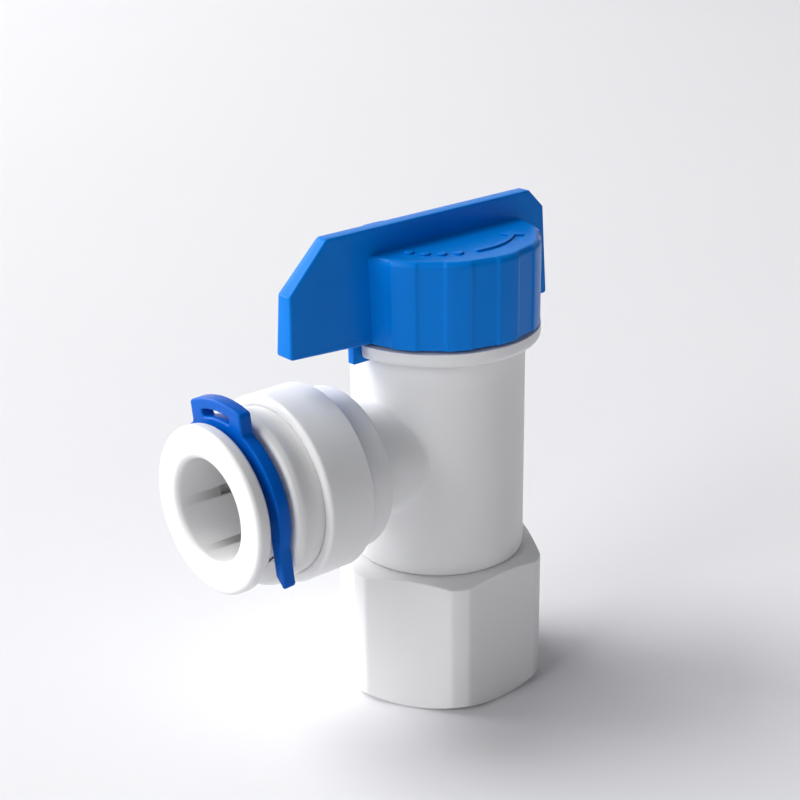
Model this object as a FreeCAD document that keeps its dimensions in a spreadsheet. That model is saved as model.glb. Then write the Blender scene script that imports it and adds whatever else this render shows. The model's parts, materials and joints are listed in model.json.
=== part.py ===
import FreeCAD, Part
import math
import os

import Sketcher
from FreeCAD import Placement, Rotation, Vector

# Push-fit tank ball valve, angle pattern.
# Frame: millimetres, +Z up along the valve's main axis, origin at the centre of the hexagonal base's underside.
# The branch with the tube socket leaves along -Y. The handle is shown open, its long arm over the branch.

doc = FreeCAD.newDocument("tank_ball_valve")
sheet = doc.addObject("Spreadsheet::Sheet", "Sizes")

SIZES = [
    # Fits, each a radial or end gap
    ("running_clearance", 0.05),
    ("seat_clearance", 0.03),
    ("ring_clearance", 0.02),
    ("groove_clearance", 0.01),
    ("tube_clearance", 0.0875),
    ("sleeve_clearance", 0.12),
    # How far a cut reaches past the material it takes away
    ("overcut", 1.0),
    # The hexagonal tank adapter
    ("hex_across_flats", 19.0),
    ("hex_corner_turning", 0.47),
    ("hex_height", 14.3),
    ("hex_top_chamfer_run", 1.6),
    ("hex_top_chamfer_drop", 0.6),
    ("hex_base_chamfer_run", 1.2),
    ("hex_base_chamfer_rise", 0.75),
    ("thread_minor_diameter", 11.2),
    ("thread_depth", 10.4),
    ("thread_pitch", 1.411),
    ("thread_height", 1.0),
    ("thread_flank_share", 0.42),
    ("thread_root_half", 0.06),
    ("thread_entry", 0.2),
    ("thread_runout", 0.1),
    ("thread_taper_angle", 1.79),
    ("adapter_oring_cord", 1.42),
    ("adapter_groove_start", 1.7),
    ("adapter_groove_spare", 0.36),
    ("spigot_land", 1.32),
    ("spigot_wall", 1.2),
    # The valve body
    ("body_wall", 2.6),
    ("body_foot_round", 0.3),
    ("bonnet_length", 4.25),
    ("flange_overhang", 1.45),
    ("flange_thickness", 1.4),
    ("flange_underside_round", 0.6),
    ("stop_half_angle", 3.3),
    ("turn_angle", 90.0),
    ("neck_length", 3.85),
    ("neck_wall", 0.75),
    ("neck_blend", 0.7),
    ("cup_wall", 0.93),
    ("cup_floor", 1.05),
    ("cup_edge_round", 0.5),
    ("tube_seat_depth", 2.0),
    # Ball, seats and stem
    ("ball_diameter", 11.2),
    ("ball_gap", 0.3),
    ("port_diameter", 6.0),
    ("ball_top_cut", 0.35),
    ("seat_bore_spare", 0.05),
    ("passage_spare", 0.2),
    ("seat_wrap", 1.45),
    ("seat_backing", 0.45),
    ("seat_cord", 0.8),
    ("outlet_seat_wall", 0.95),
    ("stem_diameter", 6.4),
    ("stem_collar_overhang", 1.2),
    ("stem_collar_gap", 0.2),
    ("stem_collar_thickness", 1.0),
    ("stem_square", 4.5),
    ("stem_square_length", 6.4),
    ("stem_snap_depth", 0.35),
    ("stem_snap_start", 4.2),
    ("stem_snap_width", 0.8),
    ("stem_tip_draft", 0.2),
    ("tang_width", 2.5),
    ("tang_length", 5.6),
    ("tang_depth", 1.25),
    ("washer_thickness", 0.8),
    ("washer_rim_gap", 0.3),
    ("stem_oring_cord", 1.1),
    ("stem_groove_width", 1.3),
    ("stem_oring_spacing", 1.9),
    ("stem_groove_start", 1.25),
    # Handle
    ("handle_gap", 0.3),
    ("cap_overhang", 0.02),
    ("cap_height", 8.4),
    ("cap_far_drop", 0.9),
    ("cap_edge_round", 0.6),
    ("cap_top_thickness", 1.5),
    ("cap_wall", 1.45),
    ("cap_recess_depth", 0.13),
    ("cap_recess_count", 12.0),
    ("boss_wall", 1.3),
    ("wing_thickness", 2.3),
    ("wing_offset", 0.6),
    ("wing_height", 10.85),
    ("wing_near_reach", 18.95),
    ("wing_far_reach", 13.1),
    ("wing_near_corner_run", 4.25),
    ("wing_near_corner_drop", 4.4),
    ("wing_far_corner_run", 1.8),
    ("wing_far_corner_drop", 1.9),
    ("wing_draft_angle", 2.2),
    ("wing_tip_lift", 0.6),
    ("lug_gap", 0.15),
    ("lug_depth", 2.15),
    ("lug_drop", 2.1),
    ("lug_root_depth", 0.5),
    ("socket_spare", 0.1),
    ("stem_entry_spare", 0.08),
    ("mark_height", 0.2),
    ("mark_root_depth", 0.1),
    ("mark_inset", 2.87),
    ("mark_width", 0.55),
    ("arrow_start_angle", -12.0),
    ("arrow_sweep_angle", 52.0),
    ("arrow_head_angle", 16.0),
    ("arrow_head_half", 1.25),
    ("arrow_head_lap", 1.0),
    ("dot_diameter", 0.95),
    ("dot_start_angle", -63.0),
    ("dot_step_angle", 12.5),
    # Tube socket: seal, collar, nose and collet
    ("tube_diameter", 9.525),
    ("tube_bore_spare", 0.05),
    ("spacer_thickness", 0.8),
    ("spacer_gap", 0.18),
    ("spacer_bore_spare", 0.1),
    ("collet_travel", 1.75),
    ("collet_travel_spare", 0.17),
    ("collet_wall", 1.15),
    ("collet_head_step", 0.55),
    ("collet_head_room", 0.2),
    ("oring_shoulder", 0.25),
    ("collet_flange_overhang", 1.9),
    ("collet_flange_thickness", 1.4),
    ("collet_rim_round", 0.35),
    ("collet_head_length", 0.9),
    ("collet_head_taper", 1.3),
    ("collet_lip_round", 0.5),
    ("finger_count", 6.0),
    ("finger_slot_width", 1.0),
    ("finger_slot_length", 4.5),
    ("finger_turn_angle", -18.0),
    ("tooth_groove_start", 0.6),
    ("tooth_groove_width", 1.0),
    ("tooth_groove_depth", 0.62),
    ("tooth_slot_margin", 0.45),
    ("collar_wall", 1.01),
    ("collar_overlap", 3.0),
    ("collar_lip", 2.0),
    ("collar_bead_round", 0.42),
    ("nose_foot_entry", 0.2),
    ("nose_radial_gap", 0.06),
    ("nose_seat_step", 0.55),
    ("nose_tip_wall", 2.4),
    ("nose_front_round", 0.6),
    ("nose_length", 3.15),
    # Locking clip
    ("clip_room", 2.55),
    ("clip_thickness", 1.3),
    ("clip_back_gap", 0.35),
    ("clip_lean_angle", 2.5),
    ("clip_roll_angle", 5.0),
    ("clip_slot_gap", 0.1),
    ("clip_band", 1.75),
    ("clip_crown", 0.4),
    ("clip_arm_drop", 2.8),
    ("clip_foot_drop", 6.5),
    ("clip_foot_width", 1.15),
    ("clip_foot_point", 1.1),
    ("clip_foot_edge", 0.3),
    ("clip_point_share", 0.85),
    ("clip_tab_height", 2.2),
    ("clip_tab_half_width", 3.85),
    ("clip_window_angle", 28.0),
    ("clip_window_rim", 1.1),
]

for row, (alias, value) in enumerate(SIZES, start=1):
    sheet.set("A%d" % row, alias.replace("_", " "))
    sheet.set("B%d" % row, str(value))
    sheet.setAlias("B%d" % row, alias)
doc.recompute()


class Size:
    """A number together with the spreadsheet formula that gives it."""

    def __init__(self, value, formula):
        self.value = float(value)
        self.formula = formula

    def join(self, other, sign, value):
        return Size(value, "(%s %s %s)" % (self.formula, sign, other.formula))

    def __add__(self, other):
        other = as_size(other)
        return self.join(other, "+", self.value + other.value)

    def __sub__(self, other):
        other = as_size(other)
        return self.join(other, "-", self.value - other.value)

    def __mul__(self, other):
        other = as_size(other)
        return self.join(other, "*", self.value * other.value)

    def __truediv__(self, other):
        other = as_size(other)
        return self.join(other, "/", self.value / other.value)

    def __radd__(self, other):
        return as_size(other) + self

    def __rsub__(self, other):
        return as_size(other) - self

    def __rmul__(self, other):
        return as_size(other) * self

    def __rtruediv__(self, other):
        return as_size(other) / self

    def __neg__(self):
        return Size(-self.value, "(0 - %s)" % self.formula)


def as_size(number):
    """Turns a plain number into a Size, and leaves a Size alone."""
    if isinstance(number, Size):
        return number
    return Size(number, "%.6f" % number if number >= 0 else "(0 - %.6f)" % -number)


def named(alias):
    """The Size of one cell of the sheet."""
    return Size(sheet.get(alias), "Sizes." + alias)


def cosine(angle):
    return Size(math.cos(math.radians(angle.value)), "cos(%s * 1 deg)" % angle.formula)


def sine(angle):
    return Size(math.sin(math.radians(angle.value)), "sin(%s * 1 deg)" % angle.formula)


# ---------------------------------------------------------------- document helpers

NODES = []


def new_body(label, height=None, branch=False):
    """A body whose own origin is at the given height; a branch body's own +Z leaves along the world's -Y."""
    body = doc.addObject("PartDesign::Body", label)
    place(body, label, height, branch)
    return body


def place(piece, label, height=None, branch=False):
    """Gives a sub-part its name and its place in the valve."""
    piece.Label = label
    turn = Rotation(Vector(1, 0, 0), 90) if branch else Rotation()
    piece.Placement = Placement(Vector(0, 0, height.value if height else 0), turn)
    if height:
        piece.setExpression("Placement.Base.z", height.formula)
    NODES.append(piece)


def origin_plane(body, role):
    return [item for item in body.Origin.OriginFeatures if item.Role == role][0]


def new_sketch(body, name, plane, turn=None, lift=None):
    """A sketch on one of the body's origin planes, turned about its own Y and lifted along its own Z."""
    sketch = body.newObject("Sketcher::SketchObject", name)
    sketch.AttachmentSupport = (origin_plane(body, plane), [""])
    sketch.MapMode = "FlatFace"
    turn = as_size(turn or 0)
    lift = as_size(lift or 0)
    sketch.AttachmentOffset = Placement(Vector(0, 0, lift.value), Rotation(Vector(0, 1, 0), turn.value))
    if turn.value:
        sketch.setExpression("AttachmentOffset.Rotation.Angle", turn.formula)
    if lift.value:
        sketch.setExpression("AttachmentOffset.Base.z", lift.formula)
    return sketch


def pin_point(sketch, geometry, position, point):
    """Holds one point of a sketch at its two sizes."""
    for kind, size in zip(("DistanceX", "DistanceY"), point):
        size = as_size(size)
        index = sketch.addConstraint(Sketcher.Constraint(kind, -1, 1, geometry, position, size.value))
        sketch.setExpression("Constraints[%d]" % index, size.formula)


def outline(sketch, points):
    """Adds one closed outline of straight edges to a sketch."""
    points = [(as_size(x), as_size(y)) for x, y in points]
    first = sketch.GeometryCount
    for index, (x, y) in enumerate(points):
        next_x, next_y = points[(index + 1) % len(points)]
        sketch.addGeometry(Part.LineSegment(Vector(x.value, y.value, 0), Vector(next_x.value, next_y.value, 0)))
    for index, point in enumerate(points):
        after = first + (index + 1) % len(points)
        sketch.addConstraint(Sketcher.Constraint("Coincident", first + index, 2, after, 1))
        pin_point(sketch, first + index, 1, point)
    return sketch


def circle(sketch, diameter, centre=(0, 0)):
    """Adds one circle to a sketch."""
    diameter = as_size(diameter)
    x, y = as_size(centre[0]), as_size(centre[1])
    index = sketch.addGeometry(Part.Circle(Vector(x.value, y.value, 0), Vector(0, 0, 1), diameter.value / 2))
    pin_point(sketch, index, 3, (x, y))
    size = sketch.addConstraint(Sketcher.Constraint("Diameter", index, diameter.value))
    sketch.setExpression("Constraints[%d]" % size, diameter.formula)
    return sketch


def spin(body, name, sketch, axis="V_Axis", angle=360, cut=False):
    """Turns a sketch about one of its own axes, to add material or to cut it."""
    feature = body.newObject("PartDesign::Groove" if cut else "PartDesign::Revolution", name)
    feature.Profile = sketch
    feature.ReferenceAxis = (sketch, [axis])
    angle = as_size(angle)
    feature.Angle = angle.value
    feature.setExpression("Angle", angle.formula)
    body.Tip = feature
    return feature


def extrude(body, name, sketch, length, cut=False, reverse=False, middle=False, taper=None):
    """Pads or pockets a sketch by a length."""
    feature = body.newObject("PartDesign::Pocket" if cut else "PartDesign::Pad", name)
    feature.Profile = sketch
    length = as_size(length)
    feature.Length = length.value
    feature.setExpression("Length", length.formula)
    feature.Reversed = reverse
    feature.Midplane = middle
    if taper is not None:
        feature.TaperAngle = -taper.value
        feature.setExpression("TaperAngle", "(0 - %s)" % taper.formula)
    body.Tip = feature
    return feature


def ring_copies(body, name, feature, count):
    """Repeats a feature evenly round the body's own Z axis."""
    pattern = body.newObject("PartDesign::PolarPattern", name)
    pattern.Originals = [feature]
    pattern.Axis = (origin_plane(body, "Z_Axis"), [""])
    pattern.Angle = 360
    count = as_size(count)
    pattern.Occurrences = int(count.value)
    pattern.setExpression("Occurrences", count.formula)
    body.Tip = pattern
    return pattern


def round_edges(body, name, radius, wanted, bevel=False):
    """Rounds or bevels the edges of the body's tip that the test picks out."""
    doc.recompute()
    base = body.Tip
    edges = ["Edge%d" % (number + 1) for number, edge in enumerate(base.Shape.Edges) if wanted(edge)]
    if not edges:
        raise ValueError("%s finds no edge" % name)
    feature = body.newObject("PartDesign::Chamfer" if bevel else "PartDesign::Fillet", name)
    feature.Base = (base, edges)
    radius = as_size(radius)
    property_name = "Size" if bevel else "Radius"
    setattr(feature, property_name, radius.value)
    feature.setExpression(property_name, radius.formula)
    body.Tip = feature
    return feature


def is_ring(edge, diameter, level, axis="z"):
    """True for a circular edge of a given diameter whose centre is at a given level along an axis."""
    if not isinstance(edge.Curve, Part.Circle):
        return False
    centre = getattr(edge.Curve.Center, axis)
    return abs(edge.Curve.Radius - diameter.value / 2) < 1e-4 and abs(centre - as_size(level).value) < 1e-4


def cord_ring(label, middle_diameter, cord, level, height, branch=False):
    """An O-ring: a torus at a level along its own axis."""
    body = new_body(label, height, branch)
    sketch = new_sketch(body, label + "_section", "XZ_Plane")
    circle(sketch, cord, (middle_diameter / 2, level))
    spin(body, label + "_ring", sketch)
    return body


def turned(label, points, height=None, branch=False):
    """A body turned about its own Z axis from one closed half section of radius and level."""
    body = new_body(label, height, branch)
    sketch = outline(new_sketch(body, label + "_section", "XZ_Plane"), points)
    spin(body, label + "_turned", sketch)
    return body


# ---------------------------------------------------------------- shared values

clearance = named("running_clearance")
press_gap = named("seat_clearance")
ring_gap = named("ring_clearance")
groove_gap = named("groove_clearance")
handle_gap = named("handle_gap")
overcut = named("overcut")

# Radii, from the ball outwards and from the tube outwards
ball_radius = named("ball_diameter") / 2
port_radius = named("port_diameter") / 2
stem_radius = named("stem_diameter") / 2
bonnet_radius = stem_radius + clearance
cavity_radius = ball_radius + named("ball_gap")
body_radius = cavity_radius + named("body_wall")
flange_radius = body_radius + named("flange_overhang")
hex_radius = named("hex_across_flats") / 2 / cosine(as_size(30)) - named("hex_corner_turning")
collet_bore = named("tube_diameter") / 2 + named("tube_clearance")
tube_bore_radius = collet_bore + named("tube_bore_spare")
sleeve_radius = collet_bore + named("collet_wall")
head_radius = sleeve_radius + named("collet_head_step")
cone_radius = head_radius + named("collet_head_room")
oring_bore_radius = cone_radius + named("oring_shoulder")
cup_radius = oring_bore_radius + named("cup_wall")

# Levels on the main axis, counted from the ball's centre
seat_cord = named("seat_cord")
seat_back = ball_radius + named("seat_backing")
seat_pocket_end = seat_back + seat_cord + clearance
ball_top = ball_radius - named("ball_top_cut")
collar_floor = ball_top + named("stem_collar_gap")
collar_top = collar_floor + named("stem_collar_thickness")
cavity_ceiling = collar_top + named("washer_thickness") + clearance * 2
body_top = cavity_ceiling + named("bonnet_length")

# Levels on the main axis, counted from the base
hex_height = named("hex_height")
groove_start = hex_height + named("adapter_groove_start")
groove_end = groove_start + named("adapter_oring_cord") + named("adapter_groove_spare")
branch_height = groove_end + named("spigot_land") + seat_pocket_end
body_foot = hex_height - branch_height

# Distances along the branch, counted from the main axis
tube_cord = oring_bore_radius - tube_bore_radius - press_gap * 2
cup_back = body_radius + named("neck_length")
oring_floor = cup_back + named("cup_floor")
tube_stop = oring_floor - named("tube_seat_depth")
tube_ring_level = oring_floor + tube_cord / 2 + press_gap * 2
spacer_start = tube_ring_level + tube_cord / 2 + named("spacer_gap")
spacer_end = spacer_start + named("spacer_thickness")
collet_back = spacer_end + named("collet_travel") + named("collet_travel_spare")
cup_mouth = collet_back + named("nose_foot_entry")
stop_angle = named("stop_half_angle")
turn_angle = named("turn_angle")


# ---------------------------------------------------------------- valve body
# One moulding: the body tube with its cavity and bonnet bore, the top flange with its stop sector,
# the neck and the cup that holds the tube's O-ring. Its own origin is where the branch meets the main axis.

valve_body = new_body("valve_body", branch_height)
tube_section = new_sketch(valve_body, "body_tube_section", "XZ_Plane")
outline(tube_section, [(0, body_foot), (body_radius, body_foot), (body_radius, body_top), (0, body_top)])
spin(valve_body, "body_tube", tube_section)

flange_foot = body_top - named("flange_thickness")
flange_section = new_sketch(valve_body, "flange_section", "XZ_Plane", turn=-(90 - stop_angle))
outline(flange_section, [(body_radius - overcut, flange_foot), (flange_radius, flange_foot),
                         (flange_radius, body_top), (body_radius - overcut, body_top)])
flange_sweep = 360 - turn_angle - stop_angle * 2
spin(valve_body, "flange", flange_section, angle=flange_sweep)
round_edges(valve_body, "flange_underside", named("flange_underside_round"),
            lambda edge: is_ring(edge, flange_radius * 2, flange_foot))

neck_radius = tube_bore_radius + named("neck_wall")
neck_section = new_sketch(valve_body, "neck_and_cup_section", "YZ_Plane")
outline(neck_section, [(0, 0), (0, neck_radius), (-cup_back, neck_radius), (-cup_back, cup_radius),
                       (-cup_mouth, cup_radius), (-cup_mouth, 0)])
spin(valve_body, "neck_and_cup", neck_section, axis="H_Axis")
round_edges(valve_body, "cup_back_edge", named("cup_edge_round"),
            lambda edge: is_ring(edge, cup_radius * 2, -cup_back, "y"))
round_edges(valve_body, "neck_blend", named("neck_blend"),
            lambda edge: isinstance(edge.Curve, Part.BSplineCurve) and edge.CenterOfMass.y < -3)

cavity_section = new_sketch(valve_body, "cavity_section", "XZ_Plane")
outline(cavity_section, [(0, body_foot), (cavity_radius, body_foot), (cavity_radius, cavity_ceiling),
                         (bonnet_radius, cavity_ceiling), (bonnet_radius, body_top), (0, body_top)])
spin(valve_body, "cavity", cavity_section, cut=True)

seat_bore = port_radius + named("seat_bore_spare")
outlet_seat_radius = seat_bore + named("outlet_seat_wall")
outlet_pocket_radius = outlet_seat_radius + clearance
passage_radius = port_radius + named("passage_spare")
branch_section = new_sketch(valve_body, "branch_bore_section", "YZ_Plane")
outline(branch_section, [(0, 0), (0, outlet_pocket_radius), (-seat_pocket_end, outlet_pocket_radius),
                         (-seat_pocket_end, passage_radius), (-tube_stop, passage_radius),
                         (-tube_stop, tube_bore_radius), (-oring_floor, tube_bore_radius),
                         (-oring_floor, oring_bore_radius), (-cup_mouth, oring_bore_radius), (-cup_mouth, 0)])
spin(valve_body, "branch_bore", branch_section, axis="H_Axis", cut=True)
round_edges(valve_body, "body_foot_edge", named("body_foot_round"),
            lambda edge: is_ring(edge, body_radius * 2, body_foot))


# ---------------------------------------------------------------- tank adapter
# The hexagonal base, its tapered pipe thread and the spigot that is welded into the body tube.

spigot_radius = cavity_radius - clearance
thread_radius = named("thread_minor_diameter") / 2
thread_depth = named("thread_depth")
adapter_cord = named("adapter_oring_cord")
groove_floor = cavity_radius - ring_gap - adapter_cord - groove_gap
seat_start = ball_radius - named("seat_wrap")
adapter_length = branch_height - seat_start - named("seat_wrap") / 6
bottom_pocket_radius = spigot_radius - named("spigot_wall")
bottom_seat_radius = bottom_pocket_radius - clearance
bottom_pocket_floor = branch_height - seat_pocket_end
hex_foot_radius = hex_radius - named("hex_base_chamfer_run")
hex_top_radius = hex_radius - named("hex_top_chamfer_run")
tank_adapter = turned("tank_adapter", [
    (thread_radius, 0), (hex_foot_radius, 0), (hex_radius, named("hex_base_chamfer_rise")),
    (hex_radius, hex_height - named("hex_top_chamfer_drop")), (hex_top_radius, hex_height),
    (spigot_radius, hex_height), (spigot_radius, groove_start), (groove_floor, groove_start),
    (groove_floor, groove_end), (spigot_radius, groove_end), (spigot_radius, adapter_length),
    (bottom_pocket_radius, adapter_length), (bottom_pocket_radius, bottom_pocket_floor),
    (port_radius, bottom_pocket_floor), (port_radius, thread_depth), (thread_radius, thread_depth)])
flat_reach = named("hex_across_flats") / 2
flat_section = new_sketch(tank_adapter, "flat_section", "XY_Plane")
outline(flat_section, [(flat_reach, -hex_radius), (hex_radius + overcut, -hex_radius),
                       (hex_radius + overcut, hex_radius), (flat_reach, hex_radius)])
flat_cut = extrude(tank_adapter, "flat", flat_section, hex_height, cut=True, reverse=True)
ring_copies(tank_adapter, "hexagon", flat_cut, 6)

thread_pitch = named("thread_pitch")
thread_section = new_sketch(tank_adapter, "thread_section", "XZ_Plane")
thread_half = thread_pitch * named("thread_flank_share")
thread_root = thread_radius + named("thread_height")
thread_entry = thread_radius - named("thread_entry")
root_half = named("thread_root_half")
outline(thread_section, [(thread_entry, -thread_half - thread_pitch), (thread_root, -thread_pitch - root_half),
                         (thread_root, -thread_pitch + root_half), (thread_entry, thread_half - thread_pitch)])
thread = tank_adapter.newObject("PartDesign::SubtractiveHelix", "pipe_thread")
thread.Profile = thread_section
thread.ReferenceAxis = (thread_section, ["V_Axis"])
thread.Mode = 0
thread.Pitch = thread_pitch.value
thread.setExpression("Pitch", thread_pitch.formula)
thread_run = thread_depth - named("thread_runout")
thread.Height = thread_run.value
thread.setExpression("Height", thread_run.formula)
thread.Angle = -named("thread_taper_angle").value
thread.setExpression("Angle", "(0 - Sizes.thread_taper_angle)")
tank_adapter.Tip = thread

cord_ring("adapter_oring", (groove_floor + groove_gap) * 2 + adapter_cord, adapter_cord,
          (groove_start + groove_end) / 2, as_size(0))


# ---------------------------------------------------------------- ball and seats

ball = new_body("ball", branch_height)
sphere = ball.newObject("PartDesign::AdditiveSphere", "sphere")
sphere.Radius = ball_radius.value
sphere.setExpression("Radius", ball_radius.formula)
ball.Tip = sphere
inlet_hole = circle(new_sketch(ball, "inlet_hole_section", "XY_Plane"), named("port_diameter"))
extrude(ball, "inlet_hole", inlet_hole, ball_radius, cut=True)
outlet_hole = circle(new_sketch(ball, "outlet_hole_section", "XZ_Plane"), named("port_diameter"))
extrude(ball, "outlet_hole", outlet_hole, ball_radius, cut=True, reverse=True)
tang_half = named("tang_width") / 2
tang_end = collar_floor - named("tang_depth")
slot_section = new_sketch(ball, "tang_slot_section", "XZ_Plane")
slot_half = tang_half + clearance
slot_floor = tang_end - clearance
outline(slot_section, [(-slot_half, slot_floor), (slot_half, slot_floor), (slot_half, ball_radius + overcut),
                       (-slot_half, ball_radius + overcut)])
extrude(ball, "tang_slot", slot_section, named("ball_diameter"), cut=True, middle=True)
top_section = new_sketch(ball, "top_flat_section", "XZ_Plane")
outline(top_section, [(-ball_radius, ball_top), (ball_radius, ball_top),
                      (ball_radius, ball_radius + overcut), (-ball_radius, ball_radius + overcut)])
extrude(ball, "top_flat", top_section, named("ball_diameter"), cut=True, middle=True)


def seat_ring(label, seat_radius, branch):
    """A seat: a ring whose inner end is hollowed to the ball. Its own +Z points away from the ball."""
    body = turned(label, [(seat_bore, seat_start), (seat_radius, seat_start), (seat_radius, seat_back),
                          (seat_bore, seat_back)], branch_height, branch)
    if not branch:
        body.Placement = Placement(Vector(0, 0, branch_height.value), Rotation(Vector(1, 0, 0), 180))
        body.setExpression("Placement.Base.z", branch_height.formula)
    hollow = body.newObject("PartDesign::SubtractiveSphere", label + "_hollow")
    hollow_radius = ball_radius + press_gap
    hollow.Radius = hollow_radius.value
    hollow.setExpression("Radius", hollow_radius.formula)
    body.Tip = hollow
    return body


def seat_cord_ring(label, seat_radius, branch):
    """The rubber ring that presses a seat against the ball."""
    level = seat_back + seat_cord / 2 + ring_gap
    body = cord_ring(label, seat_radius * 2 - seat_cord, seat_cord, level, branch_height, branch)
    if not branch:
        body.Placement = Placement(Vector(0, 0, branch_height.value), Rotation(Vector(1, 0, 0), 180))
        body.setExpression("Placement.Base.z", branch_height.formula)
    return body


seat_ring("bottom_seat", bottom_seat_radius, False)
seat_cord_ring("bottom_seat_oring", bottom_seat_radius, False)
seat_ring("outlet_seat", outlet_seat_radius, True)
seat_cord_ring("outlet_seat_oring", outlet_seat_radius, True)


# ---------------------------------------------------------------- stem
# Tang in the ball's slot, thrust collar under the bonnet, two O-ring grooves, square drive and snap groove.

stem_cord = named("stem_oring_cord")
stem_ring_radius = bonnet_radius - ring_gap
groove_root = stem_ring_radius - stem_cord - groove_gap
lower_groove = cavity_ceiling + named("stem_groove_start")
upper_groove = lower_groove + named("stem_oring_spacing")
half_groove = named("stem_groove_width") / 2
square_start = body_top + clearance * 2
stem_top = square_start + named("stem_square_length")
stem_collar_radius = stem_radius + named("stem_collar_overhang")
snap_start = body_top + named("stem_snap_start")
snap_end = snap_start + named("stem_snap_width")
snap_floor = stem_radius - named("stem_snap_depth")
tip_draft = named("stem_tip_draft")
stem = turned("stem", [
    (0, collar_floor), (stem_collar_radius, collar_floor), (stem_collar_radius, collar_top),
    (stem_radius, collar_top), (stem_radius, lower_groove - half_groove), (groove_root, lower_groove - half_groove),
    (groove_root, lower_groove + half_groove), (stem_radius, lower_groove + half_groove),
    (stem_radius, upper_groove - half_groove), (groove_root, upper_groove - half_groove),
    (groove_root, upper_groove + half_groove), (stem_radius, upper_groove + half_groove),
    (stem_radius, snap_start), (snap_floor, snap_start), (snap_floor, snap_end), (stem_radius - tip_draft, snap_end),
    (stem_radius - tip_draft * 2, stem_top), (0, stem_top)], branch_height)
square_half = named("stem_square") / 2
square_section = new_sketch(stem, "square_section", "XY_Plane", lift=square_start)
outline(square_section, [(square_half, -stem_radius), (stem_radius + overcut, -stem_radius),
                         (stem_radius + overcut, stem_radius), (square_half, stem_radius)])
square_cut = extrude(stem, "square_flat", square_section, named("stem_square_length"), cut=True, reverse=True)
ring_copies(stem, "square_drive", square_cut, 4)
tang_half_length = named("tang_length") / 2
tang_section = new_sketch(stem, "tang_section", "XY_Plane", lift=tang_end)
outline(tang_section, [(-tang_half, -tang_half_length), (tang_half, -tang_half_length),
                       (tang_half, tang_half_length), (-tang_half, tang_half_length)])
extrude(stem, "tang", tang_section, named("tang_depth"))

stem_ring_middle = (stem_ring_radius - stem_cord / 2) * 2
cord_ring("stem_oring_lower", stem_ring_middle, stem_cord, lower_groove, branch_height)
cord_ring("stem_oring_upper", stem_ring_middle, stem_cord, upper_groove, branch_height)
washer_bore = bonnet_radius + clearance
washer_radius = cavity_radius - named("washer_rim_gap")
turned("thrust_washer", [
    (washer_bore, collar_top + clearance), (washer_radius, collar_top + clearance),
    (washer_radius, cavity_ceiling - clearance), (washer_bore, cavity_ceiling - clearance)], branch_height)


# ---------------------------------------------------------------- handle
# One moulding: faceted cap, inner boss with the square socket, wing and stop lug.
# Its own origin is on the main axis, at the cap's underside.

cap_radius = flange_radius + named("cap_overhang")
cap_height = named("cap_height")
cap_foot = branch_height + body_top + handle_gap
handle = new_body("handle", cap_foot)
cap_section = new_sketch(handle, "cap_section", "XZ_Plane")
outline(cap_section, [(0, 0), (cap_radius, 0), (cap_radius, cap_height), (0, cap_height)])
spin(handle, "cap", cap_section)

# Beyond the wing the cap's top is a little lower.
wing_offset = named("wing_offset")
far_top_level = cap_height - named("cap_far_drop")
far_section = new_sketch(handle, "cap_far_section", "XZ_Plane")
outline(far_section, [(-cap_radius - overcut, far_top_level), (wing_offset, far_top_level),
                      (wing_offset, cap_height + overcut), (-cap_radius - overcut, cap_height + overcut)])
extrude(handle, "cap_far_step", far_section, cap_radius * 2 + overcut, cut=True, middle=True)
round_edges(handle, "cap_edge", named("cap_edge_round"),
            lambda edge: is_ring(edge, cap_radius * 2, cap_height)
            or is_ring(edge, cap_radius * 2, far_top_level))

facet_angle = 180 / named("cap_recess_count")
facet_half = facet_angle / 2
recess_radius = cap_radius - named("cap_recess_depth")
recess_section = new_sketch(handle, "grip_recess_section", "XY_Plane")


def facet_point(radius, angle):
    """A point on the cap's rim, its angle counted from +X."""
    return (radius * cosine(angle), radius * sine(angle))


low_side = facet_angle - facet_half
high_side = facet_angle + facet_half
outline(recess_section, [facet_point(recess_radius, low_side), facet_point(cap_radius + overcut, low_side),
                         facet_point(cap_radius + overcut, high_side), facet_point(recess_radius, high_side)])
recess = extrude(handle, "grip_recess", recess_section, cap_height, cut=True, reverse=True)
ring_copies(handle, "grip_recesses", recess, named("cap_recess_count"))

wing_half = named("wing_thickness") / 2
wing_height = named("wing_height")
near_reach = named("wing_near_reach")
far_reach = named("wing_far_reach")
wing_section = new_sketch(handle, "wing_section", "XY_Plane")
outline(wing_section, [(wing_offset - wing_half, -near_reach), (wing_offset + wing_half, -near_reach),
                       (wing_offset + wing_half, far_reach), (wing_offset - wing_half, far_reach)])
extrude(handle, "wing", wing_section, wing_height, taper=named("wing_draft_angle"))
corner_section = new_sketch(handle, "wing_corner_section", "YZ_Plane")
near_run = named("wing_near_corner_run")
near_drop = named("wing_near_corner_drop")
far_run = named("wing_far_corner_run")
far_drop = named("wing_far_corner_drop")
draft = sine(named("wing_draft_angle"))
near_top = near_reach - draft * wing_height
far_top = far_reach - draft * wing_height
above_wing = wing_height + overcut
outline(corner_section, [
    (-near_reach - overcut, wing_height - near_drop), (-near_reach, wing_height - near_drop),
    (-near_top + near_run, wing_height), (-near_top + near_run, above_wing), (-near_reach - overcut, above_wing)])
outline(corner_section, [
    (far_top - far_run, wing_height), (far_reach, wing_height - far_drop),
    (far_reach + overcut, wing_height - far_drop), (far_reach + overcut, above_wing), (far_top - far_run, above_wing)])
extrude(handle, "wing_corners", corner_section, cap_radius, cut=True, middle=True)
lift_section = new_sketch(handle, "wing_underside_section", "YZ_Plane")
outline(lift_section, [(-near_reach - overcut, -overcut), (-cap_radius, -overcut), (-cap_radius, handle_gap / 6),
                       (-near_reach - overcut, named("wing_tip_lift"))])
extrude(handle, "wing_underside", lift_section, cap_radius, cut=True, middle=True)

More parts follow.
